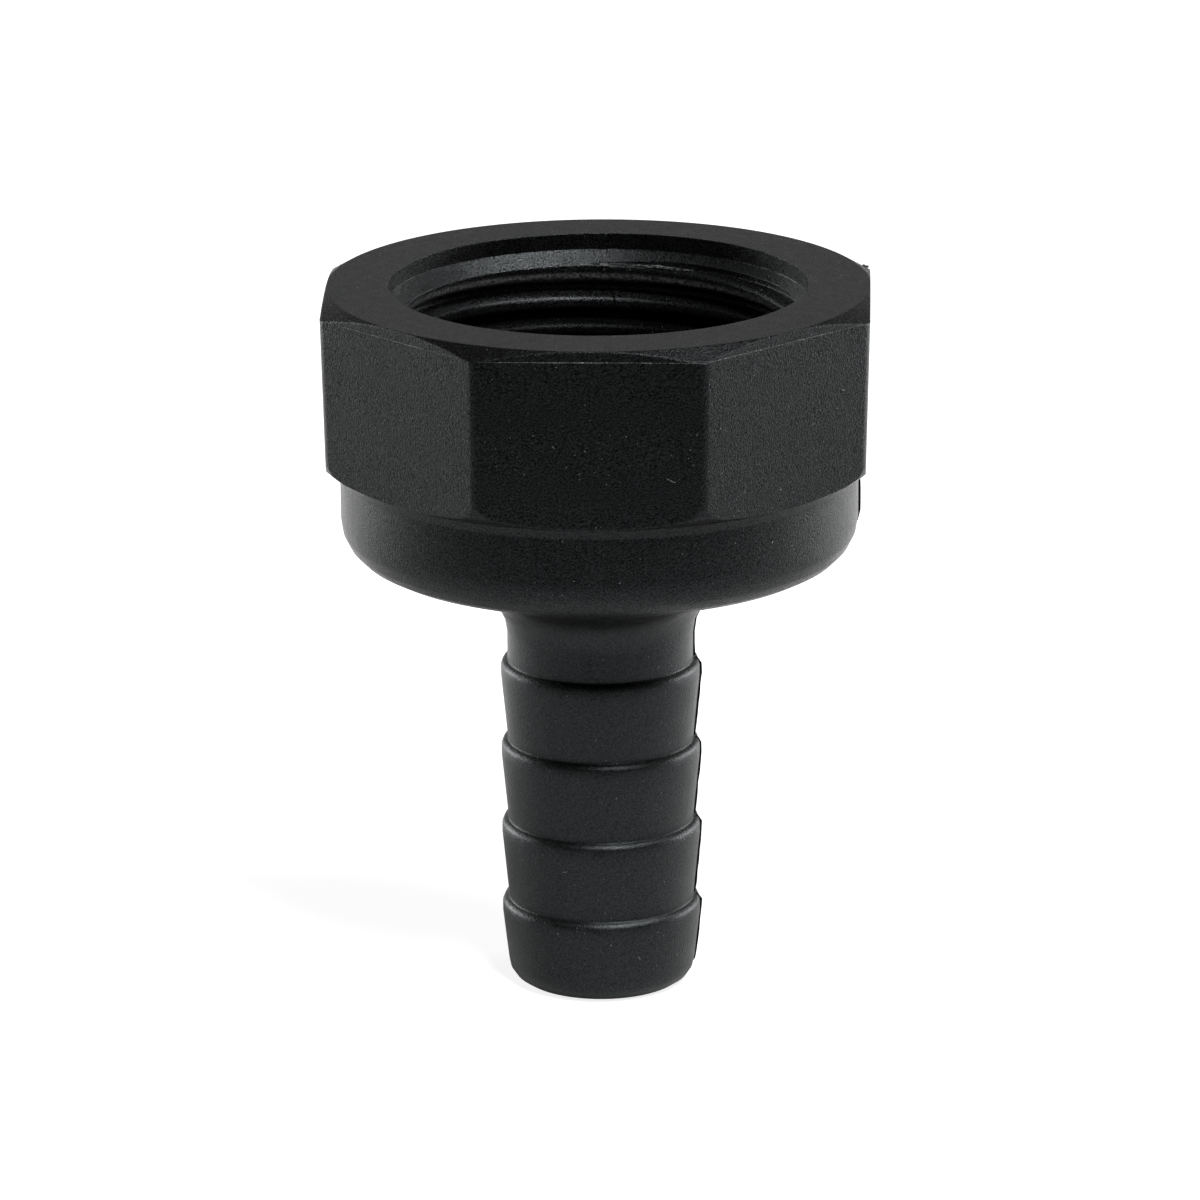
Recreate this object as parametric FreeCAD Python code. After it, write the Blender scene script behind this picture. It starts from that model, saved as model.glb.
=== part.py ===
# Thru hull adapter: an octagonal union head with a female pipe thread and a barbed hose tail.
# It is one moulding of black glass-filled nylon, so it is one solid in one node.
# The part stands on its tail end: Z is the axis, Z = 0 is the tail end, the front flat faces -Y.
# All sizes are in millimetres, and angles are in degrees.
import FreeCAD, Part
import math
import os

# Female thread, 1 inch parallel pipe size, with the wide crest of a moulded thread
thread_major_diameter = 33.25
thread_depth = 1.175
thread_pitch = 2.309
thread_flank_angle = 55.0
thread_turns = 4.2
thread_start_angle = 130.0
thread_start_below_rim = 1.81
thread_fade_in_turns = 0.34
thread_fade_out_turns = 0.25
groove_overrun = 0.25
groove_points_per_turn = 12

# Socket that the thread stands in, from the rim down
mouth_clearance = 0.125
mouth_depth = 1.35
lead_in_height = 1.0
socket_depth = 18.0
seat_width = 4.45
entry_slope = 30.0

# Octagonal head, with flats that lean outwards to the rim for the mould's draft
head_sides = 8
head_wall = 5.05
head_height = 14.45
side_draft = 1.3
corner_radius = 1.2
rim_slope = 30.0
foot_slope = 27.0
head_foot_radius = 1.2

# Collar under the head and its dished underside
ledge_width = 0.45
ledge_drop = 0.8
ledge_inset = 0.1
collar_height = 4.5
collar_foot_radius = 3.5
underside_slope = 19.0
neck_fillet = 4.0

# Hose tail, from the tail end up
overall_height = 58.35
crest_diameter = 16.1
barb_height = 0.53
barb_count = 4
barb_pitch = 6.72
first_shoulder_height = 7.05
crest_land = 0.8
end_rounding = 1.8
end_taper = 0.45
tail_wall = 2.32

# A turned rounding is a run of short cones that stay this close to the true arc
rounding_tolerance = 0.06

# How far a cutter reaches past the face that it cuts through
cutter_overrun = 1.0


def tan(degrees):
    return math.tan(math.radians(degrees))


def point(radius, height):
    """A point of a turned profile, in the XZ plane."""
    return FreeCAD.Vector(radius, 0, height)


# Radii and heights that follow from the sizes above
major_radius = thread_major_diameter / 2
minor_radius = major_radius - thread_depth
mouth_radius = major_radius + mouth_clearance
rim_height = overall_height
ledge_height = rim_height - head_height
seat_height = rim_height - socket_depth
half_side_angle = 180.0 / head_sides
rim_apothem = major_radius + head_wall
foot_apothem = rim_apothem - head_height * tan(side_draft)
ledge_radius = foot_apothem - ledge_inset
collar_radius = ledge_radius - ledge_width
crest_radius = crest_diameter / 2
root_radius = crest_radius - barb_height
bore_radius = root_radius - tail_wall
top_shoulder_height = first_shoulder_height + (barb_count - 1) * barb_pitch


def apothem(height):
    """Distance from the axis to a flat at a height."""
    return rim_apothem - (rim_height - height) * tan(side_draft)


def corner_reach(height):
    """Distance from the axis to a rounded corner of the octagon at a height."""
    stretch = 1 / math.cos(math.radians(half_side_angle))
    return apothem(height) * stretch - corner_radius * (stretch - 1)


def octagon(height):
    """Corner points of the octagon at a height, the first two ending the front flat."""
    reach = apothem(height) / math.cos(math.radians(half_side_angle))
    corners = []
    for side in range(head_sides):
        turn = math.radians(-90 - half_side_angle + side * 2 * half_side_angle)
        corners.append(FreeCAD.Vector(reach * math.cos(turn), reach * math.sin(turn), height))
    return corners


def turned(points):
    """Solid of revolution about Z of a closed profile given by its points in order."""
    corners = []
    for spot in points:
        if not corners or spot.distanceToPoint(corners[-1]) > 1e-6:
            corners.append(spot)
    profile = Part.Face(Part.makePolygon(corners + corners[:1]))
    return profile.revolve(FreeCAD.Vector(0, 0, 0), FreeCAD.Vector(0, 0, 1), 360)


def rounding(centre, radius, start_angle, end_angle):
    """Points on an arc in the XZ plane, close enough for their chords to stand for it."""
    sweep = math.radians(end_angle - start_angle)
    widest = 2 * math.acos(1 - min(1.0, rounding_tolerance / radius))
    chords = max(2, math.ceil(abs(sweep) / widest))
    spots = []
    for step in range(chords + 1):
        turn = math.radians(start_angle) + sweep * step / chords
        spots.append(centre + radius * point(math.cos(turn), math.sin(turn)))
    return spots


def octagon_prism():
    """The head's eight drafted flats with rounded corners, before its ends are turned."""
    low = octagon(ledge_height)
    high = octagon(rim_height)
    outlines = [list(reversed(low)), high]
    for side in range(head_sides):
        after = (side + 1) % head_sides
        outlines.append([low[side], low[after], high[after], high[side]])
    faces = [Part.Face(Part.makePolygon(outline + outline[:1])) for outline in outlines]
    prism = Part.makeSolid(Part.makeShell(faces))
    corners = []
    for edge in prism.Edges:
        if abs(edge.Vertexes[0].Z - edge.Vertexes[1].Z) > head_height / 2:
            corners.append(edge)
    return prism.makeFillet(corner_radius, corners)


def head_envelope():
    """Turned body that slopes the corners at the rim, and slopes and rounds them at the foot."""
    slope = math.radians(foot_slope)
    centre_radius = corner_reach(ledge_height) - head_foot_radius
    round_start = centre_radius + head_foot_radius * math.sin(slope)
    rise = (round_start - ledge_radius) * math.tan(slope) + head_foot_radius * math.cos(slope)
    foot_centre = point(centre_radius, ledge_height + rise)
    outside = corner_reach(rim_height) + cutter_overrun
    slope_end = rim_height - (outside - rim_apothem) * tan(rim_slope)
    return turned(rounding(foot_centre, head_foot_radius, foot_slope - 90, 0) + [
        point(outside, foot_centre.z),
        point(outside, slope_end),
        point(rim_apothem, rim_height),
        point(0, rim_height),
        point(0, ledge_height),
        point(ledge_radius, ledge_height),
    ])


def head():
    """The octagonal head."""
    return octagon_prism().common(head_envelope()).Solids[0]


def collar():
    """Round collar under the head, down its dished underside to the top of the neck."""
    round_height = ledge_height - collar_height
    round_centre = point(collar_radius - collar_foot_radius, round_height)
    lean = math.radians(underside_slope)
    round_end = round_centre + collar_foot_radius * point(math.sin(lean), -math.cos(lean))
    bend_x = root_radius + neck_fillet
    along = (round_end.x - bend_x + neck_fillet * math.sin(lean)) / math.cos(lean)
    bend_start = round_end - along * point(math.cos(lean), math.sin(lean))
    bend_centre = bend_start + neck_fillet * point(math.sin(lean), -math.cos(lean))
    outline = [point(ledge_radius, ledge_height), point(collar_radius, ledge_height - ledge_drop)]
    outline += rounding(round_centre, collar_foot_radius, 0, -90 + underside_slope)
    outline += rounding(bend_centre, neck_fillet, 90 + underside_slope, 180)
    outline += [
        point(root_radius, top_shoulder_height),
        point(0, top_shoulder_height),
        point(0, ledge_height),
    ]
    return turned(outline)


def barb_crest(shoulder_height):
    """Rounded shoulder of a barb and the short land at its crest, from the top down."""
    land_top = shoulder_height - barb_height
    shoulder = rounding(point(root_radius, land_top), barb_height, 90, 0)
    return shoulder + [point(crest_radius, land_top - crest_land)]


def barb(shoulder_height):
    """One barb: its crest, then a taper to the root below."""
    taper_foot = shoulder_height - barb_pitch
    return turned(barb_crest(shoulder_height) + [
        point(root_radius, taper_foot),
        point(0, taper_foot),
        point(0, shoulder_height),
    ])


def end_barb():
    """The lowest barb, whose taper ends in the rounded edge of the tail end."""
    end_radius = crest_radius - end_taper
    nose_centre = point(end_radius - end_rounding, end_rounding)
    outline = barb_crest(first_shoulder_height)
    outline += rounding(nose_centre, end_rounding, 0, -90)
    outline += [point(0, 0), point(0, first_shoulder_height)]
    return turned(outline)


def socket_cutter():
    """The room inside: mouth, lead-in, threaded wall, seat, tapered entry and water bore."""
    seat_inner_radius = minor_radius - seat_width
    entry_foot = seat_height - (seat_inner_radius - bore_radius) * tan(entry_slope)
    return turned([
        point(0, rim_height + cutter_overrun),
        point(mouth_radius, rim_height + cutter_overrun),
        point(mouth_radius, rim_height - mouth_depth),
        point(minor_radius, rim_height - mouth_depth - lead_in_height),
        point(minor_radius, seat_height),
        point(seat_inner_radius, seat_height),
        point(bore_radius, entry_foot),
        point(bore_radius, -cutter_overrun),
        point(0, -cutter_overrun),
    ])


def groove_inset(turns):
    """How far the groove's cutter stands in from full depth, so that both ends fade out."""
    full_inset = thread_depth + groove_overrun / 2
    start_share = 1 - min(1.0, turns / thread_fade_in_turns)
    end_share = 1 - min(1.0, (thread_turns - turns) / thread_fade_out_turns)
    return full_inset * max(start_share, end_share)


def groove_path():
    """Spine of the thread groove on the major radius, turning clockwise as it goes down."""
    steps = round(thread_turns * groove_points_per_turn)
    spots = []
    for step in range(steps + 1):
        turns = thread_turns * step / steps
        angle = math.radians(thread_start_angle - 360 * turns)
        reach = major_radius - groove_inset(turns)
        height = rim_height - thread_start_below_rim - thread_pitch * turns
        spots.append(FreeCAD.Vector(reach * math.cos(angle), reach * math.sin(angle), height))
    curve = Part.BSplineCurve()
    curve.interpolate(spots)
    return Part.Wire([curve.toShape()])


def groove_section(path):
    """Section of the groove at the start of its path, a sixth of the pitch wide at the root."""
    start = path.Vertexes[0].Point
    outward = FreeCAD.Vector(start.x, start.y, 0).normalize()
    upward = FreeCAD.Vector(0, 0, 1)
    depth = thread_depth + groove_overrun
    root_half = thread_pitch / 12
    mouth_half = root_half + depth * tan(thread_flank_angle / 2)
    corners = [
        start + root_half * upward,
        start - depth * outward + mouth_half * upward,
        start - depth * outward - mouth_half * upward,
        start - root_half * upward,
        start + root_half * upward,
    ]
    return Part.makePolygon(corners)


def thread_cutter():
    """The helical groove as one swept solid."""
    path = groove_path()
    sweep = Part.BRepOffsetAPI.MakePipeShell(path)
    sweep.setBiNormalMode(FreeCAD.Vector(0, 0, 1))
    sweep.add(groove_section(path))
    sweep.build()
    sweep.makeSolid()
    return sweep.shape()


def adapter_body():
    """The whole moulding."""
    body = head().fuse(collar())
    body = body.fuse(end_barb())
    for level in range(1, barb_count):
        body = body.fuse(barb(first_shoulder_height + level * barb_pitch))
    body = body.removeSplitter()
    body = body.cut(socket_cutter())
    return body.cut(thread_cutter())


os.makedirs("parts", exist_ok=True)
body = adapter_body()
print("adapter body: solids", len(body.Solids), "volume", round(body.Volume, 1))
body.Solids[0].exportStep("parts/adapter_body.step")
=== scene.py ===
"""Dresses the thru hull adapter: its black plastic, the mould's traces on it, and the studio."""

import logging
import math
import random
from dataclasses import dataclass
from enum import Enum

import bpy
from mathutils import Matrix, Vector


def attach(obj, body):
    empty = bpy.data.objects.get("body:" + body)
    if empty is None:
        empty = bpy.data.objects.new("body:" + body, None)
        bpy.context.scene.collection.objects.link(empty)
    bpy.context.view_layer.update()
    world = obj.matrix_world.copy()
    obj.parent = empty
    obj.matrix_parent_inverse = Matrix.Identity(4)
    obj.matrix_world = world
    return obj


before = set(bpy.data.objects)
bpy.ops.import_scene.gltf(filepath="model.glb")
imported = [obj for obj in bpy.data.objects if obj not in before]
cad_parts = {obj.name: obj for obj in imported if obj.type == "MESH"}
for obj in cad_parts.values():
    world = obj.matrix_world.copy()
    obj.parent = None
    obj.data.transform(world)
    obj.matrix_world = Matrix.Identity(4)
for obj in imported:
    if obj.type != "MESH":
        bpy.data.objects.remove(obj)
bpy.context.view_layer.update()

logging.basicConfig(level=logging.INFO, format="%(message)s")
log = logging.getLogger("adapter")

# An output or input of a node, what an input takes, and a pair of numbers
Socket = bpy.types.NodeSocket
Value = bpy.types.NodeSocket | float
Span = tuple[float, float]

MM = 0.001
BODY = "root"
WHITE = (1.0, 1.0, 1.0, 1.0)

# The plastic's refraction, its slightly cool glint, and how many samples find its edges
REFRACTION = 1.5
GLINT = (0.9, 0.97, 1.0, 1.0)
EDGE_SAMPLES = 6

# Levels of a noise that a change is stretched between, for soft and for strong contrast
SOFT = (0.3, 0.7)
STRONG = (0.35, 0.65)

# Both ends of a share, and the smallest turn of a bar that is worth making, in radians
WHOLE = (0.0, 1.0)
LEAST_TURN = 1e-6


class Pattern(Enum):
    """Noise patterns: the size of the patches in millimetres, and the number of finer layers."""

    ERODED_GRAIN = (0.14, 2.0)
    TORN_GRAIN = (0.07, 2.0)
    SPECKS = (0.2, 1.0)
    # Mottled patches of the painted highlight on the first ridge's crest
    CREST_HIGHLIGHTS = (0.2, 3.0)
    SMEARS = (1.1, 3.0)
    PATCHES = (5.0, 2.0)


class Bend(Enum):
    """Which way the line of a bar bends, given as the axis that it turns about."""

    UPRIGHT = "Y"
    LEVEL = "Z"


def metres(span: Span) -> Span:
    """Turns a pair of lengths from millimetres into metres.

    Args:
        span: The pair in millimetres.

    Returns:
        The pair in metres.
    """
    return span[0] * MM, span[1] * MM


def swell(step: int, steps: int, blunt: float) -> float:
    """Gives how thick a strand is that swells to its middle and thins to its ends.

    Args:
        step: How many steps from the start.
        steps: Steps in the whole strand.
        blunt: How many steps short of a sharp point its ends are cut off.

    Returns:
        The thickness, as a share of the thickest.
    """
    return math.sin(math.pi * (step + blunt) / (steps + 2 * blunt))


@dataclass(frozen=True)
class Wiring:
    """Adds nodes to a node tree and links them.

    Attributes:
        tree: The node tree.
    """

    tree: bpy.types.NodeTree

    def put(self, value: Value, slot: Socket) -> None:
        """Gives an input its value.

        Args:
            value: A plain number, or the output that feeds the input.
            slot: The input.
        """
        if isinstance(value, float):
            slot.default_value = value
        else:
            self.tree.links.new(value, slot)

    def place(self) -> Socket:
        """Adds the object coordinates.

        Returns:
            Their output.
        """
        return self.tree.nodes.new("ShaderNodeTexCoord").outputs["Object"]

    def axes(self, place: Socket) -> tuple[Socket, ...]:
        """Splits a place into its coordinates.

        Args:
            place: The place.

        Returns:
            The X, Y and Z outputs.
        """
        node = self.tree.nodes.new("ShaderNodeSeparateXYZ")
        self.put(place, node.inputs[0])
        return tuple(node.outputs)

    def noise(self, place: Socket, pattern: Pattern) -> Socket:
        """Adds a noise pattern.

        Args:
            place: Object coordinates.
            pattern: The pattern.

        Returns:
            Its grey output.
        """
        size, layers = pattern.value
        node = self.tree.nodes.new("ShaderNodeTexNoise")
        self.put(1 / (size * MM), node.inputs["Scale"])
        self.put(layers, node.inputs["Detail"])
        self.put(place, node.inputs["Vector"])
        return node.outputs["Fac"]

    def ramp(self, source: Socket, ends: Span, values: tuple[Value, Value],
             smooth: bool = False) -> Socket:
        """Maps an input from one range to another, and holds it level past both ends.

        Args:
            source: The input that the change goes by.
            ends: Its levels where the change starts and ends.
            values: The outputs there.
            smooth: True for a change that starts and ends gently.

        Returns:
            The mapped output.
        """
        node = self.tree.nodes.new("ShaderNodeMapRange")
        if smooth:
            node.interpolation_type = "SMOOTHSTEP"
        self.put(ends[0], node.inputs["From Min"])
        self.put(ends[1], node.inputs["From Max"])
        self.put(values[0], node.inputs["To Min"])
        self.put(values[1], node.inputs["To Max"])
        self.put(source, node.inputs["Value"])
        return node.outputs["Result"]

    def maths(self, operation: str, *values: Value) -> Socket:
        """Adds one step of arithmetic.

        Args:
            operation: Name of the step.
            values: Its inputs in order.

        Returns:
            The result.
        """
        node = self.tree.nodes.new("ShaderNodeMath")
        node.operation = operation
        for value, slot in zip(values, node.inputs):
            self.put(value, slot)
        return node.outputs[0]


@dataclass(frozen=True)
class Regions:
    """Where the surface of the moulding changes, in millimetres. Each change lies between a pair.

    Attributes:
        tail_to_head: Heights where the tail's finish passes into the head's.
        core_to_outside: Radii where the socket's finish passes into the outside's.
        deep_to_thread: Heights where the deep turns, given a low gloss as painted shade, pass into
            the glossier ones.
        thread_to_lead_in: Heights where the thread's worn edges pass into the crisp ones above.
        lead_in_to_mouth: Heights where the lead-in's gloss passes into the plain mouth's.
        crest_to_flank: Radii where a ridge's crest passes into its flank.
        ridge_to_bare: Distances from the first ridge's middle where its painted highlight fades.
        ridge_start: Height of the first ridge's middle on the +X side.
        pitch: Rise of the thread in one turn.
    """

    tail_to_head: Span = (31.0, 35.0)
    core_to_outside: Span = (16.8, 16.9)
    deep_to_thread: Span = (51.9, 52.7)
    thread_to_lead_in: Span = (55.5, 56.0)
    lead_in_to_mouth: Span = (56.9, 57.1)
    crest_to_flank: Span = (15.5, 15.6)
    ridge_to_bare: Span = (0.1, 0.32)
    ridge_start: float = 54.5
    pitch: float = 2.309


REGIONS = Regions()


@dataclass(frozen=True)
class Zones:
    """Outputs that tell the zones of the moulding from each other.

    Attributes:
        head: 1 on the head and 0 on the tail.
        core: 1 in the socket and 0 outside.
        ridge: 1 on the crest of the first ridge, where the painted highlight goes, and 0 off it.
        height: Height above the tail end, in metres.
    """

    head: Socket
    core: Socket
    ridge: Socket
    height: Socket


@dataclass(frozen=True)
class PlasticFinish:
    """Black filled nylon with the grain of the mould, pale specks and slight unevenness.

    Attributes:
        name: Name of the material.
        dark: Grey value of the darker patches.
        light: Grey value of the lighter patches.
        speck: Grey value of the specks of dust and filler.
        speck_share: Noise level above which a speck shows, from 0 to 1.
        speck_rise: How far above that level a speck has its full grey value.
        crest_highlight: Grey value of the pale patches on the crest of the first ridge, a painted
            highlight.
        mottle: How much lighter and darker single grains are, as a share of the tone.
        gloss: Specular level of the head, where 0.5 is the plain value.
        tail_gloss: Specular level of the tail, which is less eroded.
        core_gloss: Specular level of the socket, which the mould's core left smooth.
        deep_shade_gloss: Specular level of the socket's deeper turns, lowered as painted shade where
            little light reaches.
        mouth_share: How glossy the plain mouth is, as a share of the rest of the socket.
        sparkle: How much more and less single grains shine, as a share of the gloss.
        roughness: Lowest and highest roughness.
        tail_dullness: How much rougher the tail is than the head.
        grain_dullness: How much rougher and smoother single grains are.
        grain: How coarse the surface grain is.
        grain_depth: Depth of the grain, in millimetres.
        tail_grain: Strength of the grain on the tail, as a share of the head's.
        edge_radius: Radius that broken edges catch the light with, in millimetres.
        socket_wear: What the thread and the mouth add to that radius, as shares of it.
    """

    name: str
    dark: float = 0.0015
    light: float = 0.0026
    speck: float = 0.2
    speck_share: float = 0.76
    speck_rise: float = 0.04
    crest_highlight: float = 0.07
    mottle: float = 1.0
    gloss: float = 0.28
    tail_gloss: float = 0.425
    core_gloss: float = 0.58
    deep_shade_gloss: float = 0.12
    mouth_share: float = 0.55
    sparkle: float = 0.65
    roughness: Span = (0.28, 0.34)
    tail_dullness: float = 0.07
    grain_dullness: float = 0.07
    grain: Pattern = Pattern.ERODED_GRAIN
    grain_depth: float = 0.06
    tail_grain: float = 0.62
    edge_radius: float = 0.25
    socket_wear: Span = (0.7, -0.6)

    def zones(self, wiring: Wiring, place: Socket) -> Zones:
        """Tells the eroded head from the smoother tail, the socket and its first ridge.

        Args:
            wiring: The material's wiring.
            place: Object coordinates.

        Returns:
            The zones.
        """
        across, along, height = wiring.axes(place)
        head = wiring.ramp(height, metres(REGIONS.tail_to_head), (0.0, 1.0))
        square = wiring.maths("MULTIPLY_ADD", along, along, wiring.maths("MULTIPLY", across, across))
        reach = wiring.maths("SQRT", square)
        inside = wiring.ramp(reach, metres(REGIONS.core_to_outside), (1.0, 0.0))
        angle = wiring.maths("ARCTAN2", along, across)
        level = wiring.maths("MULTIPLY_ADD", angle, -REGIONS.pitch / math.tau * MM, height)
        away = wiring.maths("ABSOLUTE", wiring.maths("SUBTRACT", level, REGIONS.ridge_start * MM))
        crest = wiring.ramp(reach, metres(REGIONS.crest_to_flank), (1.0, 0.0))
        middle = wiring.ramp(away, metres(REGIONS.ridge_to_bare), (1.0, 0.0))
        core = wiring.maths("MULTIPLY", inside, head)
        return Zones(head, core, wiring.maths("MULTIPLY", crest, middle), height)

    def colour(self, wiring: Wiring, place: Socket, zones: Zones, ripple: Socket) -> Socket:
        """Mixes the colour from patches, grains, specks and the painted highlight on the first
        ridge's crest.

        Args:
            wiring: The material's wiring.
            place: Object coordinates.
            zones: The zones of the moulding.
            ripple: The grain, from -1 to 1.

        Returns:
            The grey colour.
        """
        tone = wiring.ramp(wiring.noise(place, Pattern.PATCHES), STRONG, (self.dark, self.light))
        ends = (self.speck_share, self.speck_share + self.speck_rise)
        specks = wiring.ramp(wiring.noise(place, Pattern.SPECKS), ends, (0.0, self.speck))
        # Pale grey in mottled patches on the first ridge's crest: a painted highlight
        crest_highlights = wiring.ramp(wiring.noise(place, Pattern.CREST_HIGHLIGHTS), STRONG, (0.0, self.crest_highlight))
        pale = wiring.maths("MULTIPLY_ADD", crest_highlights, zones.ridge, specks)
        mottle = wiring.maths("MULTIPLY_ADD", ripple, self.mottle, 1.0)
        return wiring.maths("MULTIPLY_ADD", tone, mottle, pale)

    def shine(self, wiring: Wiring, zones: Zones, ripple: Socket) -> Socket:
        """Works out the specular level.

        Args:
            wiring: The material's wiring.
            zones: The zones of the moulding.
            ripple: The grain, from -1 to 1.

        Returns:
            The specular level.
        """
        outside = wiring.ramp(zones.head, WHOLE, (self.tail_gloss, self.gloss))
        # The deep turns get a low gloss: painted shade deep in the socket, where little light
        # reaches
        depths = metres(REGIONS.deep_to_thread)
        socket = wiring.ramp(zones.height, depths, (self.deep_shade_gloss, self.core_gloss))
        mouth = wiring.ramp(zones.height, metres(REGIONS.lead_in_to_mouth), (1.0, self.mouth_share))
        excess = wiring.maths("SUBTRACT", wiring.maths("MULTIPLY", socket, mouth), outside)
        level = wiring.maths("MULTIPLY_ADD", zones.core, excess, outside)
        sparkle = wiring.maths("MULTIPLY_ADD", ripple, self.sparkle, 1.0)
        return wiring.maths("MULTIPLY", sparkle, level)

    def dullness(self, wiring: Wiring, place: Socket, zones: Zones, ripple: Socket) -> Socket:
        """Works out the roughness.

        Args:
            wiring: The material's wiring.
            place: Object coordinates.
            zones: The zones of the moulding.
            ripple: The grain, from -1 to 1.

        Returns:
            The roughness.
        """
        smears = wiring.ramp(wiring.noise(place, Pattern.SMEARS), SOFT, self.roughness)
        tail = wiring.ramp(zones.head, WHOLE, (self.tail_dullness, 0.0))
        base = wiring.maths("ADD", smears, tail)
        return wiring.maths("MULTIPLY_ADD", ripple, self.grain_dullness, base)

    def relief(self, wiring: Wiring, zones: Zones, grain: Socket, strength: Socket) -> Socket:
        """Rounds the edges and raises the grain, in the shading alone.

        Args:
            wiring: The material's wiring.
            zones: The zones of the moulding.
            grain: The grain, from 0 to 1.
            strength: How strong the grain is, from 0 to 1.

        Returns:
            The surface's normal.
        """
        wear = wiring.ramp(zones.height, metres(REGIONS.thread_to_lead_in), self.socket_wear)
        factor = wiring.maths("MULTIPLY_ADD", zones.core, wear, 1.0)
        edge = wiring.tree.nodes.new("ShaderNodeBevel")
        edge.samples = EDGE_SAMPLES
        wiring.put(wiring.maths("MULTIPLY", factor, self.edge_radius * MM), edge.inputs["Radius"])
        bump = wiring.tree.nodes.new("ShaderNodeBump")
        wiring.put(self.grain_depth * MM, bump.inputs["Distance"])
        wiring.put(strength, bump.inputs["Strength"])
        wiring.put(grain, bump.inputs["Height"])
        wiring.put(edge.outputs["Normal"], bump.inputs["Normal"])
        return bump.outputs["Normal"]

    def material(self) -> bpy.types.Material:
        """Builds the material.

        Returns:
            A new node material on object coordinates.
        """
        made = bpy.data.materials.new(self.name)
        made.use_nodes = True
        slots = made.node_tree.nodes["Principled BSDF"].inputs
        slots["Metallic"].default_value = 0.0
        slots["IOR"].default_value = REFRACTION
        slots["Specular Tint"].default_value = GLINT
        wiring = Wiring(made.node_tree)
        place = wiring.place()
        zones = self.zones(wiring, place)
        grain = wiring.noise(place, self.grain)
        strength = wiring.ramp(zones.head, WHOLE, (self.tail_grain, 1.0))
        ripple = wiring.maths("MULTIPLY", wiring.ramp(grain, SOFT, (-1.0, 1.0)), strength)
        wiring.put(self.colour(wiring, place, zones, ripple), slots["Base Color"])
        wiring.put(self.shine(wiring, zones, ripple), slots["Specular IOR Level"])
        wiring.put(self.dullness(wiring, place, zones, ripple), slots["Roughness"])
        wiring.put(self.relief(wiring, zones, grain, strength), slots["Normal"])
        return made


MOULDED = PlasticFinish("moulded_plastic_black")
# Pale grey on the torn flash and the witness lines: a painted highlight for their ragged edges
# catching the light
TORN_EDGE_HIGHLIGHT = PlasticFinish("moulded_plastic_torn_highlight", dark=0.03, light=0.14, speck_share=0.6,
                          roughness=(0.5, 0.7), grain=Pattern.TORN_GRAIN, edge_radius=0.02)
FIN = PlasticFinish("moulded_plastic_fin", gloss=0.14, tail_gloss=0.14, edge_radius=0.02)
DUST = PlasticFinish("moulded_plastic_lint", dark=0.12, light=0.22, roughness=(0.7, 0.8),
                     grain=Pattern.TORN_GRAIN, edge_radius=0.01)


@dataclass
class Station:
    """A place on a bar's line: where it is, which way it heads, and how thick the bar is there.

    Attributes:
        place: The centre of the bar, in millimetres.
        heading: Angle of the line in the plane that it bends in, in degrees.
        thickness: Factor on the bar's section.
    """

    place: Vector
    heading: float
    thickness: float = 1.0


@dataclass
class Bar:
    """A thin ragged bar along a line: a fin, a witness line, a shred of flash or a fibre.

    Attributes:
        name: Name of the piece.
        depth: Size of its section in the plane that it bends in, in millimetres.
        width: Size of its section across that plane, in millimetres.
        finish: The plastic that it shows.
    """

    name: str
    depth: float
    width: float
    finish: PlasticFinish = TORN_EDGE_HIGHLIGHT

    def end_face(self, place: Vector, bend: Bend) -> bpy.types.Object:
        """Lays the bar's end face at the start of its line, and leaves it in edit mode.

        Args:
            place: The start of the line, in millimetres.
            bend: Which way the line bends.

        Returns:
            The bar's object.
        """
        bpy.ops.object.select_all(action="DESELECT")
        bpy.ops.mesh.primitive_plane_add(size=1, location=place * MM)
        bar = bpy.context.object
        bar.name = self.name
        bpy.ops.object.mode_set(mode="EDIT")
        bpy.ops.mesh.select_all(action="SELECT")
        if bend is Bend.UPRIGHT:
            bpy.ops.transform.resize(value=(self.depth * MM, self.width * MM, 1))
        else:
            bpy.ops.transform.resize(value=(self.width * MM, self.depth * MM, 1))
            bpy.ops.transform.rotate(value=math.radians(90), orient_axis="Y",
                                     center_override=place * MM)
        return bar

    def sweep(self, stations: list[Station], bend: Bend) -> bpy.types.Object:
        """Extrudes the bar's end face from station to station.

        Args:
            stations: The line, in order.
            bend: Which way the line bends.

        Returns:
            The bar's object.
        """
        upright = bend is Bend.UPRIGHT
        bar = self.end_face(stations[0].place, bend)
        before = Station(stations[0].place, 90.0 if upright else 0.0)
        for station in stations:
            if station is not stations[0]:
                step = (station.place - before.place) * MM
                bpy.ops.mesh.extrude_region_move(TRANSFORM_OT_translate={"value": step})
            here = station.place * MM
            turn = math.radians(station.heading - before.heading)
            if abs(turn) > LEAST_TURN:
                bpy.ops.transform.rotate(value=-turn if upright else turn, orient_axis=bend.value,
                                         orient_type="GLOBAL", center_override=here)
            scale = station.thickness / before.thickness
            bpy.ops.transform.resize(value=(scale, scale, scale), center_override=here)
            before = station
        bpy.ops.mesh.select_all(action="SELECT")
        bpy.ops.mesh.normals_make_consistent(inside=False)
        bpy.ops.object.mode_set(mode="OBJECT")
        return bar

    def build(self, stations: list[Station], bend: Bend, azimuth: float) -> bpy.types.Object:
        """Makes the bar, turns it about the axis to its side of the part, and dresses it.

        Args:
            stations: The line, in order, before the turn.
            bend: Which way the line bends.
            azimuth: Angle that the bar is turned by, in degrees.

        Returns:
            The bar's object, with its origin at the frame's origin.
        """
        bar = self.sweep(stations, bend)
        bpy.ops.object.select_all(action="DESELECT")
        bar.select_set(True)
        bpy.context.view_layer.objects.active = bar
        bar.matrix_world = Matrix.Rotation(math.radians(azimuth), 4, "Z") @ bar.matrix_world
        bpy.ops.object.transform_apply(location=True, rotation=True, scale=True)
        bar.data.materials.append(self.finish.material())
        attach(bar, BODY)
        log.info("piece %s: %d faces", bar.name, len(bar.data.polygons))
        return bar


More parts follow.
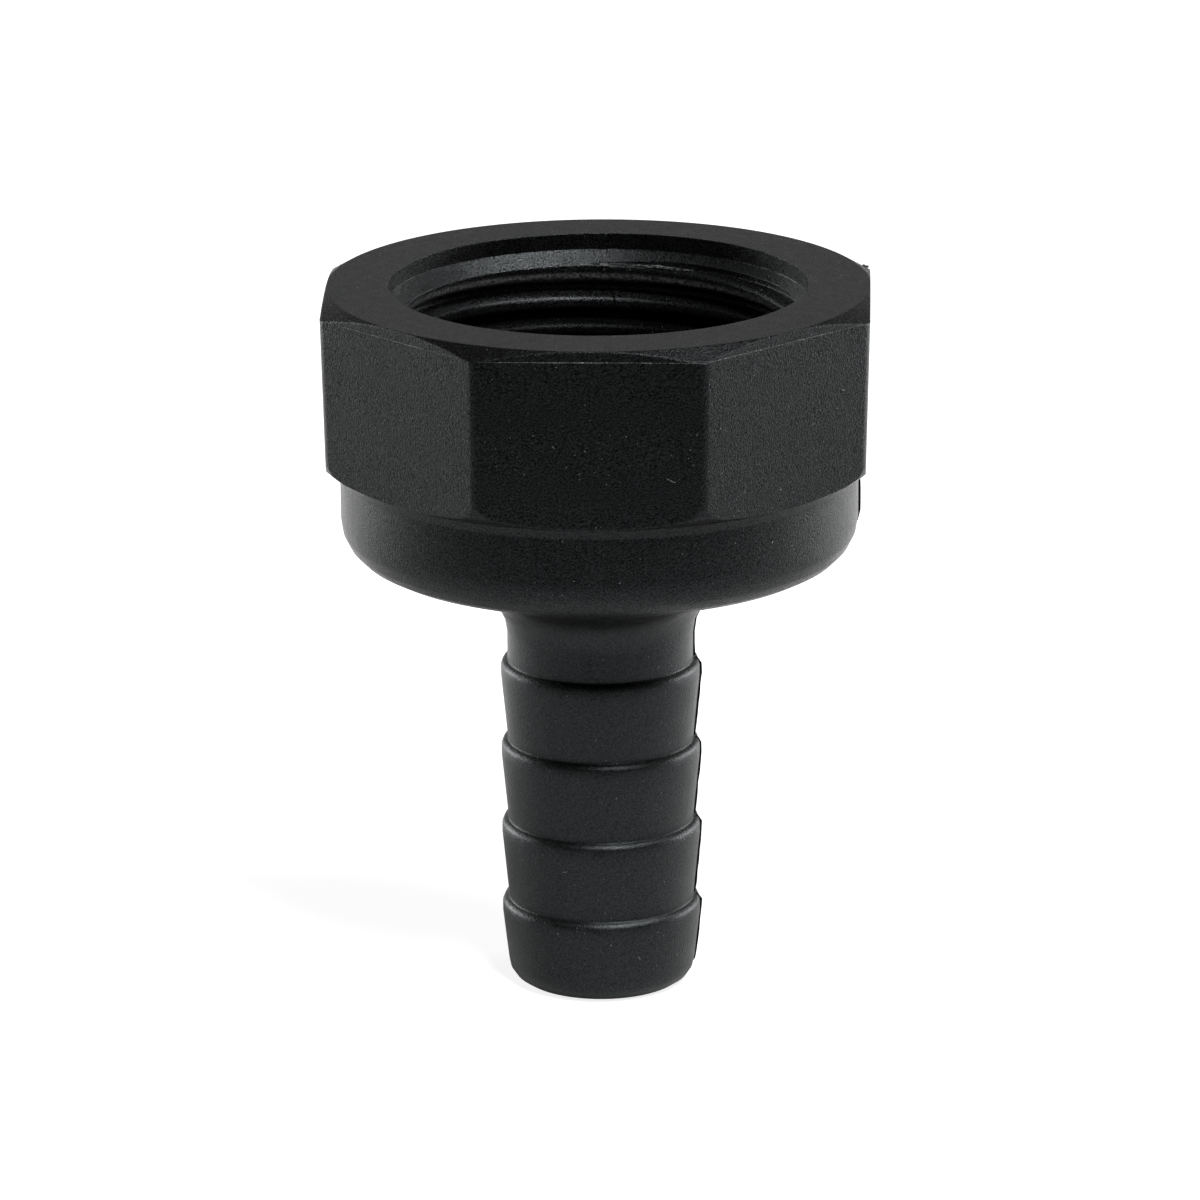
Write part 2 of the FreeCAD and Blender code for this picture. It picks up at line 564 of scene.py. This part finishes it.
@dataclass
class PartingFin:
    """The fin where the two halves of the mould met, up the tail, the neck and the collar.

    Points of the outline are pairs of radius and height, in millimetres.

    Attributes:
        azimuth: Which side of the part it is on, in degrees from +X.
        proud: How far it stands out, in millimetres.
        width: Its width round the part, in millimetres.
        stride: Longest distance between two of its stations, roughly, in millimetres.
        thickness: Least and greatest factor on its section.
        seed: Seed of its unevenness.
        foot: Outline of the tail's rounded end.
        root: Radius between the barbs, in millimetres.
        barb: Outline of one barb, counted from that radius and from the barb's shoulder.
        first_shoulder: Height of the lowest shoulder, in millimetres.
        barb_pitch: Distance from shoulder to shoulder, in millimetres.
        barb_count: How many barbs there are.
        neck: Outline of the neck and its fillet.
        collar: Outline of the collar, up to the ledge under the head.
    """

    azimuth: float = 2.1
    proud: float = 0.18
    width: float = 0.14
    stride: float = 0.9
    thickness: Span = (0.7, 1.15)
    seed: int = 3
    foot: tuple[Span, ...] = ((7.15, 0.72), (7.5, 1.35), (7.6, 1.9))
    root: float = 7.52
    barb: tuple[Span, ...] = ((0.53, -1.33), (0.53, -0.53), (0.3, -0.06), (0.0, 0.12))
    first_shoulder: float = 7.05
    barb_pitch: float = 6.72
    barb_count: int = 4
    neck: tuple[Span, ...] = (
        (7.52, 29.4), (7.68, 30.5), (8.1, 31.4), (8.8, 32.2), (9.7, 32.85), (10.5, 33.2),
    )
    collar: tuple[Span, ...] = (
        (18.4, 35.95), (19.3, 36.6), (20.1, 37.5), (20.65, 38.6), (20.8, 39.5), (20.8, 43.1),
        (21.2, 43.8),
    )

    def outline(self) -> list[Span]:
        """Gives the outline of the tail, neck and collar that the fin follows.

        Returns:
            Its points from the foot up.
        """
        spots = list(self.foot)
        for number in range(self.barb_count):
            shoulder = self.first_shoulder + number * self.barb_pitch
            spots += [(self.root + out, shoulder + up) for out, up in self.barb]
        return spots + list(self.neck) + list(self.collar)

    def strides(self) -> list[Span]:
        """Divides the outline into strides of about the same length.

        Returns:
            The outline's points with those between them.
        """
        spots = self.outline()
        dense = []
        for (r0, z0), (r1, z1) in zip(spots, spots[1:]):
            pieces = max(1, round(math.hypot(r1 - r0, z1 - z0) / self.stride))
            for step in range(pieces):
                share = step / pieces
                dense.append((r0 + (r1 - r0) * share, z0 + (z1 - z0) * share))
        return dense + spots[-1:]

    def build(self) -> bpy.types.Object:
        """Makes the fin.

        Returns:
            The fin's object.
        """
        dice = random.Random(self.seed)
        spots = self.strides()
        stations = []
        for number, (radius, height) in enumerate(spots):
            low = spots[max(0, number - 1)]
            high = spots[min(len(spots) - 1, number + 1)]
            heading = math.degrees(math.atan2(high[1] - low[1], high[0] - low[0]))
            thickness = dice.uniform(*self.thickness)
            stations.append(Station(Vector((radius, 0, height)), heading, thickness))
        bar = Bar(f"parting_fin_{self.seed}", depth=2 * self.proud, width=self.width, finish=FIN)
        return bar.build(stations, Bend.UPRIGHT, self.azimuth)


@dataclass
class WitnessLine:
    """The fine ragged line that the mould's split left round the head, just under its rim.

    Attributes:
        height: Height of the line, in millimetres.
        apothem: Distance from the axis to the flats there, in millimetres.
        sunk: How far the middle of the line lies inside the flats, in millimetres.
        half_width: Half of its length on each flat, in millimetres.
        sides: How many flats the head has.
        steps: Steps of the line along a flat.
        depth: Its thickness through the surface, in millimetres.
        width: Its thickness up and down, in millimetres.
        drift: How far it wanders up and down, in millimetres.
        ends: Its strength at the corners, as a share.
        strength: Least and greatest factor on what its middle has more than its ends.
        seed: Seed of the first flat's unevenness, which the others count on from.
    """

    height: float = 57.47
    apothem: float = 21.655
    sunk: float = 0.006
    half_width: float = 8.55
    sides: int = 8
    steps: int = 46
    depth: float = 0.044
    width: float = 0.06
    drift: float = 0.012
    ends: float = 0.35
    strength: Span = (0.4, 1.2)
    seed: int = 20

    def along(self, side: int) -> bpy.types.Object:
        """Makes the line on one flat.

        Args:
            side: Number of the flat, counted from the front one.

        Returns:
            The line's object.
        """
        dice = random.Random(self.seed + side)
        stations = []
        for step in range(self.steps + 1):
            share = 2 * step / self.steps - 1
            drift = self.drift * dice.uniform(-1, 1)
            middle = (1 - self.ends) * (1 - share * share) * dice.uniform(*self.strength)
            place = (share * self.half_width, -self.apothem + self.sunk, self.height + drift)
            stations.append(Station(Vector(place), 0.0, self.ends + middle))
        bar = Bar(f"witness_line_{side + 1}", self.depth, self.width)
        return bar.build(stations, Bend.LEVEL, side * 360 / self.sides)

    def build(self) -> list[bpy.types.Object]:
        """Makes one line on each flat, each with its own unevenness.

        Returns:
            The lines' objects.
        """
        return [self.along(side) for side in range(self.sides)]


@dataclass(frozen=True)
class Shred:
    """One torn shred that lies along a circle about the axis.

    Attributes:
        start: Azimuth where it starts, in degrees.
        end: Azimuth where it ends, in degrees.
        radius: Its distance from the axis, in millimetres.
        height: Its height, in millimetres.
        depth: Its size towards the axis where it is thickest, in millimetres.
    """

    start: float
    end: float
    radius: float
    height: float
    depth: float


@dataclass
class TornFlash:
    """Shreds of flash: along the upper lip of the thread, and on the head's corner at the back.

    Attributes:
        shreds: The shreds.
        width: Their size up and down where they are thickest, in millimetres.
        stride: Angle between two stations, in degrees.
        fewest: Fewest steps in a shred.
        sway: How far a shred wanders up and down, in millimetres.
        thickness: Least and greatest factor on a shred's section.
        blunt: How many steps short of a sharp point its ends are cut off.
        seed: Seed of the first shred's unevenness, which the others count on from.
    """

    shreds: tuple[Shred, ...] = (
        Shred(62, 84, 15.5, 55.98, 0.3),
        Shred(86, 93, 15.5, 55.94, 0.42),
        Shred(94, 99, 15.5, 55.96, 0.3),
        Shred(103, 126, 15.5, 55.98, 0.24),
        Shred(196, 208, 15.5, 55.98, 0.24),
        Shred(330, 338, 15.5, 55.98, 0.24),
        Shred(21.8, 22.9, 23.1, 57.6, 0.3),
        Shred(23.2, 23.9, 23.05, 57.55, 0.22),
    )
    width: float = 0.15
    stride: float = 1.1
    fewest: int = 6
    sway: float = 0.08
    thickness: Span = (0.3, 1.3)
    blunt: float = 0.3
    seed: int = 50

    def along(self, number: int, shred: Shred) -> bpy.types.Object:
        """Makes one shred.

        Args:
            number: Its place in the list, which also seeds its unevenness.
            shred: Where it lies and how thick it is.

        Returns:
            The shred's object.
        """
        dice = random.Random(self.seed + number)
        stations = []
        steps = max(self.fewest, round((shred.end - shred.start) / self.stride))
        for step in range(steps + 1):
            angle = shred.start + (shred.end - shred.start) * step / steps
            turn = math.radians(angle)
            height = shred.height + self.sway * dice.uniform(-1, 1)
            place = Vector((shred.radius * math.cos(turn), shred.radius * math.sin(turn), height))
            thickness = swell(step, steps, self.blunt) * dice.uniform(*self.thickness)
            stations.append(Station(place, angle + 90, thickness))
        bar = Bar(f"torn_flash_{number + 1}", shred.depth, self.width)
        return bar.build(stations, Bend.LEVEL, 0)

    def build(self) -> list[bpy.types.Object]:
        """Makes the shreds.

        Returns:
            Their objects.
        """
        return [self.along(number, shred) for number, shred in enumerate(self.shreds)]


@dataclass
class ThreadBurr:
    """The small burr on the second ridge of the thread, which curls inwards and down.

    Attributes:
        azimuth: Which side of the socket it is on, in degrees.
        radius: Distance of its root from the axis, in millimetres.
        height: Height of its root, in millimetres.
        steps: How many steps it has.
        heading: Angle that it starts at, in degrees.
        curl: Angle that each step turns it by, in degrees.
        reach: How far each step goes inwards, in millimetres.
        drop: How far down the first step ends, in millimetres, and the others by the square of
            their number.
        thickness: Factor on its section at the root.
        taper: How much of that factor each step loses.
        depth: Its thickness, in millimetres.
        width: Its width along the ridge, in millimetres.
    """

    azimuth: float = 86.7
    radius: float = 15.5
    height: float = 53.75
    steps: int = 4
    heading: float = 170.0
    curl: float = 18.0
    reach: float = 0.09
    drop: float = 0.03
    thickness: float = 1.1
    taper: float = 0.2
    depth: float = 0.14
    width: float = 0.3

    def build(self) -> bpy.types.Object:
        """Makes the burr.

        Returns:
            The burr's object.
        """
        stations = []
        for step in range(self.steps + 1):
            place = (self.radius - self.reach * step, 0, self.height - self.drop * step * step)
            heading = self.heading + self.curl * step
            stations.append(Station(Vector(place), heading, self.thickness - self.taper * step))
        bar = Bar("thread_burr", self.depth, self.width, MOULDED)
        return bar.build(stations, Bend.UPRIGHT, self.azimuth)


@dataclass(frozen=True)
class Fibre:
    """One fibre of dust, as it lies on the front before it is turned to its side of the part.

    Attributes:
        along: Distance of its start from the middle of the front, in millimetres.
        height: Height of its start, in millimetres.
        radius: Its distance in front of the axis, in millimetres.
        azimuth: Angle that it is turned by about the axis, in degrees.
        length: Its length, in millimetres.
        slope: Angle that it starts at, in degrees.
    """

    along: float
    height: float
    radius: float
    azimuth: float
    length: float
    slope: float


@dataclass
class Lint:
    """Short pale fibres of dust that lie on the part.

    Attributes:
        fibres: The fibres.
        steps: Steps in each.
        wander: How far each step may turn one, in degrees.
        blunt: How many steps short of a sharp point their ends are cut off.
        depth: Their thickness along the surface, in millimetres.
        width: Their thickness through the surface, in millimetres.
        seed: Seed of the first fibre's unevenness, which the others count on from.
    """

    fibres: tuple[Fibre, ...] = (
        Fibre(5.97, 48.2, 21.44, 0.0, 0.75, -24.0),
        Fibre(8.3, 51.6, 21.52, 0.0, 0.35, 70.0),
        Fibre(-7.9, 46.4, 21.40, 45.0, 0.45, 62.0),
        Fibre(2.6, 50.3, 21.49, 45.0, 0.5, 15.0),
        Fibre(-3.1, 53.9, 21.57, -45.0, 0.4, 40.0),
        Fibre(0.0, 17.4, 7.93, 38.0, 0.5, 52.0),
        Fibre(0.0, 11.3, 7.98, -21.0, 0.45, 12.0),
        Fibre(0.0, 4.1, 7.86, 24.0, 0.4, -50.0),
    )
    steps: int = 5
    wander: float = 14.0
    blunt: float = 0.8
    depth: float = 0.07
    width: float = 0.03
    seed: int = 80

    def strand(self, number: int, fibre: Fibre) -> bpy.types.Object:
        """Makes one fibre.

        Args:
            number: Its place in the list, which also seeds its unevenness.
            fibre: Where it lies and how long it is.

        Returns:
            The fibre's object.
        """
        dice = random.Random(self.seed + number)
        place = Vector((fibre.along, -fibre.radius, fibre.height))
        heading = fibre.slope
        stations = []
        for step in range(self.steps + 1):
            stations.append(Station(place.copy(), heading, swell(step, self.steps, self.blunt)))
            turn = math.radians(heading)
            place += Vector((math.cos(turn), 0, math.sin(turn))) * fibre.length / self.steps
            heading += dice.uniform(-self.wander, self.wander)
        bar = Bar(f"lint_fibre_{number + 1}", self.depth, self.width, DUST)
        return bar.build(stations, Bend.UPRIGHT, fibre.azimuth)

    def build(self) -> list[bpy.types.Object]:
        """Makes the fibres.

        Returns:
            Their objects.
        """
        return [self.strand(number, fibre) for number, fibre in enumerate(self.fibres)]


@dataclass
class AdapterBody:
    """The moulding itself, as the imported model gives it, with its plastic.

    Attributes:
        node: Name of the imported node.
        finish: Its plastic.
        sharp_angle: Angle between faces above which their edge stays crisp, in degrees.
        tail_angle: The same for the barbs, whose shoulders are rounded in few steps.
        tail_top: Heights between which the second angle passes into the first, in millimetres.
        merge_distance: Distance within which corners are joined, in millimetres.
    """

    node: str = "adapter_body"
    finish: PlasticFinish = MOULDED
    sharp_angle: float = 25.0
    tail_angle: float = 50.0
    tail_top: Span = (28.9, 29.0)
    merge_distance: float = 0.001

    def smoothing(self) -> bpy.types.NodeTree:
        """Makes the nodes that shade the roundings as curves and leave the crisp edges.

        Returns:
            A geometry node tree for a modifier.
        """
        tree = bpy.data.node_groups.new("smooth_roundings", "GeometryNodeTree")
        for direction in ("INPUT", "OUTPUT"):
            tree.interface.new_socket("Geometry", in_out=direction, socket_type="NodeSocketGeometry")
        merge = tree.nodes.new("GeometryNodeMergeByDistance")
        merge.inputs["Distance"].default_value = self.merge_distance * MM
        remove = tree.nodes.new("GeometryNodeRemoveAttribute")
        remove.inputs["Name"].default_value = "custom_normal"
        faces = tree.nodes.new("GeometryNodeSetShadeSmooth")
        edges = tree.nodes.new("GeometryNodeSetShadeSmooth")
        edges.domain = "EDGE"
        source = tree.nodes.new("NodeGroupInput")
        result = tree.nodes.new("NodeGroupOutput")
        chain = (source, merge, remove, faces, edges, result)
        for before, after in zip(chain, chain[1:]):
            tree.links.new(before.outputs[0], after.inputs[0])
        wiring = Wiring(tree)
        height = wiring.axes(tree.nodes.new("GeometryNodeInputPosition").outputs["Position"])[2]
        angles = (math.radians(self.tail_angle), math.radians(self.sharp_angle))
        smooth = tree.nodes.new("FunctionNodeCompare")
        smooth.operation = "LESS_THAN"
        angle = tree.nodes.new("GeometryNodeInputMeshEdgeAngle").outputs["Unsigned Angle"]
        wiring.put(angle, smooth.inputs["A"])
        wiring.put(wiring.ramp(height, metres(self.tail_top), angles), smooth.inputs["B"])
        wiring.put(smooth.outputs["Result"], edges.inputs["Shade Smooth"])
        return tree

    def build(self) -> bpy.types.Object:
        """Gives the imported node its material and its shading.

        Returns:
            The node's object.
        """
        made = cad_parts[self.node]
        made.data.materials.clear()
        made.data.materials.append(self.finish.material())
        smooth = made.modifiers.new("smooth_roundings", "NODES")
        smooth.node_group = self.smoothing()
        level = made.modifiers.new("level_flats", "WEIGHTED_NORMAL")
        level.keep_sharp = True
        log.info("node %s dressed", self.node)
        return made


@dataclass
class Softbox:
    """A rectangular lamp.

    Attributes:
        name: Its name.
        place: Its centre, in metres.
        aim: The point that it faces, in metres.
        size: Width and height, in metres.
        level: Brightness of its face, where 1 is white.
    """

    name: str
    place: tuple[float, float, float]
    aim: tuple[float, float, float]
    size: Span
    level: float

    def build(self) -> bpy.types.Object:
        """Adds the lamp.

        Returns:
            The lamp's object.
        """
        lamp = bpy.data.lights.new(self.name, "AREA")
        lamp.shape = "RECTANGLE"
        lamp.size, lamp.size_y = self.size
        lamp.energy = self.level * math.pi * self.size[0] * self.size[1]
        made = bpy.data.objects.new(self.name, lamp)
        made.location = self.place
        towards = Vector(self.aim) - Vector(self.place)
        made.rotation_euler = towards.to_track_quat("-Z", "Y").to_euler()
        made.visible_camera = False
        bpy.context.scene.collection.objects.link(made)
        log.info("lamp %s", self.name)
        return made


@dataclass
class Studio:
    """Floor, room light, softboxes and the camera at the photograph's angle.

    The floor is pale paper round the part and behind it, and in front of it a dark sheet of painted
    shade, which the part mirrors and which bounces little light onto it. Its glow makes it white to
    the camera, and paler or darker where the part mirrors it.

    Attributes:
        target: The point at the middle of the picture, in millimetres.
        distance: Distance of the camera from it, in millimetres.
        elevation: Angle of the camera above the horizon, in degrees.
        azimuth: Angle of the camera round from -Y towards +X, in degrees.
        roll: How far the picture is turned anticlockwise, in degrees.
        lens: Focal length, in millimetres.
        sensor: Width of the camera's sensor, in millimetres.
        clip: Nearest and farthest distance that the camera sees, in metres.
        room_light: Brightness of the room around.
        floor_size: Side of the floor, in metres.
        floor_roughness: Roughness of the floor.
        paper_shade: Grey value of the paper.
        painted_front_shade: Grey value of the dark sheet in front of the part, painted shade for the
            part's dark front.
        paper_edge: Where that dark sheet ends and the paper starts, as Y in metres.
        edge_blur: Half of the distance that this takes, in metres.
        paper_glow: How much the paper adds to its own shade to the camera, up to white.
        mirror_glow: The same near the part where the part mirrors it.
        glow_rise: Where that rises to the paper's glow behind the part, as Y in metres.
        softboxes: The lamps.
    """

    target: tuple[float, float, float] = (0.0, 0.0, 32.0)
    distance: float = 573.3
    elevation: float = 16.64
    azimuth: float = 2.1
    roll: float = 0.3
    lens: float = 213.05
    sensor: float = 36.0
    clip: Span = (0.01, 20.0)
    room_light: float = 0.09
    floor_size: float = 8.0
    floor_roughness: float = 0.9
    paper_shade: float = 0.5
    painted_front_shade: float = 0.03
    paper_edge: float = -0.13
    edge_blur: float = 0.02
    paper_glow: float = 0.82
    mirror_glow: float = 0.12
    glow_rise: Span = (0.02, 0.09)
    softboxes: tuple[Softbox, ...] = (
        Softbox("lamp_left", (-0.5, 0.3, 0.12), (0, 0, 0.04), (0.4, 0.22), 7.0),
        Softbox("lamp_right", (0.5, 0.3, 0.12), (0, 0, 0.04), (0.4, 0.22), 7.0),
        Softbox("lamp_top", (0.345, -0.061, 0.646), (0, 0, 0.04), (0.14, 0.14), 40.0),
        Softbox("lamp_back", (0, 0.75, 0.2), (0, 0, 0.05), (0.8, 0.3), 0.26),
        Softbox("lamp_key", (0.174, -0.373, 0.606), (0, 0, 0.04), (0.16, 0.16), 52.0),
    )

    def camera(self) -> None:
        """Places the camera."""
        data = bpy.data.cameras.new("camera")
        data.sensor_width = self.sensor
        data.lens = self.lens
        data.clip_start, data.clip_end = self.clip
        made = bpy.data.objects.new("camera", data)
        bpy.context.scene.collection.objects.link(made)
        around, up = math.radians(self.azimuth), math.radians(self.elevation)
        level = math.cos(up)
        back = Vector((math.sin(around) * level, -math.cos(around) * level, math.sin(up)))
        made.location = (Vector(self.target) + back * self.distance) * MM
        made.rotation_mode = "QUATERNION"
        roll = Matrix.Rotation(math.radians(-self.roll), 3, "Z").to_quaternion()
        made.rotation_quaternion = (-back).to_track_quat("-Z", "Y") @ roll
        bpy.context.scene.camera = made
        log.info("camera placed")

    def seen(self, wiring: Wiring, direct: Value, mirrored: Value) -> Socket:
        """Gives one value to camera rays, one to mirrored and transmitted rays, none to the rest.

        Args:
            wiring: The material's wiring.
            direct: Value for camera rays.
            mirrored: Value for glossy and transmission rays.

        Returns:
            The chosen value.
        """
        rays = wiring.tree.nodes.new("ShaderNodeLightPath").outputs
        bent = wiring.maths("MAXIMUM", rays["Is Glossy Ray"], rays["Is Transmission Ray"])
        part = wiring.maths("MULTIPLY", bent, mirrored)
        return wiring.maths("MULTIPLY_ADD", rays["Is Camera Ray"], direct, part)

    def paper(self) -> bpy.types.Material:
        """Builds the floor's material.

        Returns:
            A new node material on object coordinates.
        """
        made = bpy.data.materials.new("studio_paper")
        made.use_nodes = True
        slots = made.node_tree.nodes["Principled BSDF"].inputs
        slots["Roughness"].default_value = self.floor_roughness
        slots["Specular IOR Level"].default_value = 0.0
        slots["Emission Color"].default_value = WHITE
        wiring = Wiring(made.node_tree)
        depth = wiring.axes(wiring.place())[1]
        edge = (self.paper_edge - self.edge_blur, self.paper_edge + self.edge_blur)
        # Base colour: painted shade in front of the part, the paper's own pale grey behind
        shade = wiring.ramp(depth, edge, (self.painted_front_shade, self.paper_shade), smooth=True)
        direct = wiring.ramp(depth, edge, (1.0, self.paper_glow), smooth=True)
        near = wiring.ramp(depth, edge, (0.0, self.mirror_glow), smooth=True)
        mirrored = wiring.ramp(depth, self.glow_rise, (near, self.paper_glow), smooth=True)
        wiring.put(shade, slots["Base Color"])
        wiring.put(self.seen(wiring, direct, mirrored), slots["Emission Strength"])
        return made

    def floor(self) -> None:
        """Adds the floor that the part stands on."""
        bpy.ops.object.select_all(action="DESELECT")
        bpy.ops.mesh.primitive_plane_add(size=self.floor_size, location=(0, 0, 0))
        plane = bpy.context.object
        plane.name = "studio_floor"
        plane.data.materials.append(self.paper())
        log.info("floor laid")

    def room(self) -> None:
        """Fills the room with quiet even light."""
        world = bpy.data.worlds.new("studio_light")
        bpy.context.scene.world = world
        world.use_nodes = True
        back = world.node_tree.nodes["Background"]
        back.inputs["Color"].default_value = WHITE
        back.inputs["Strength"].default_value = self.room_light

    def build(self) -> None:
        """Sets the whole studio up."""
        bpy.context.scene.view_settings.view_transform = "Standard"
        self.floor()
        self.room()
        for lamp in self.softboxes:
            lamp.build()
        self.camera()


def main() -> None:
    """Dresses the part, adds the mould's traces and sets the studio up."""
    AdapterBody().build()
    PartingFin().build()
    WitnessLine().build()
    TornFlash().build()
    ThreadBurr().build()
    Lint().build()
    Studio().build()


if __name__ == "__main__":
    main()
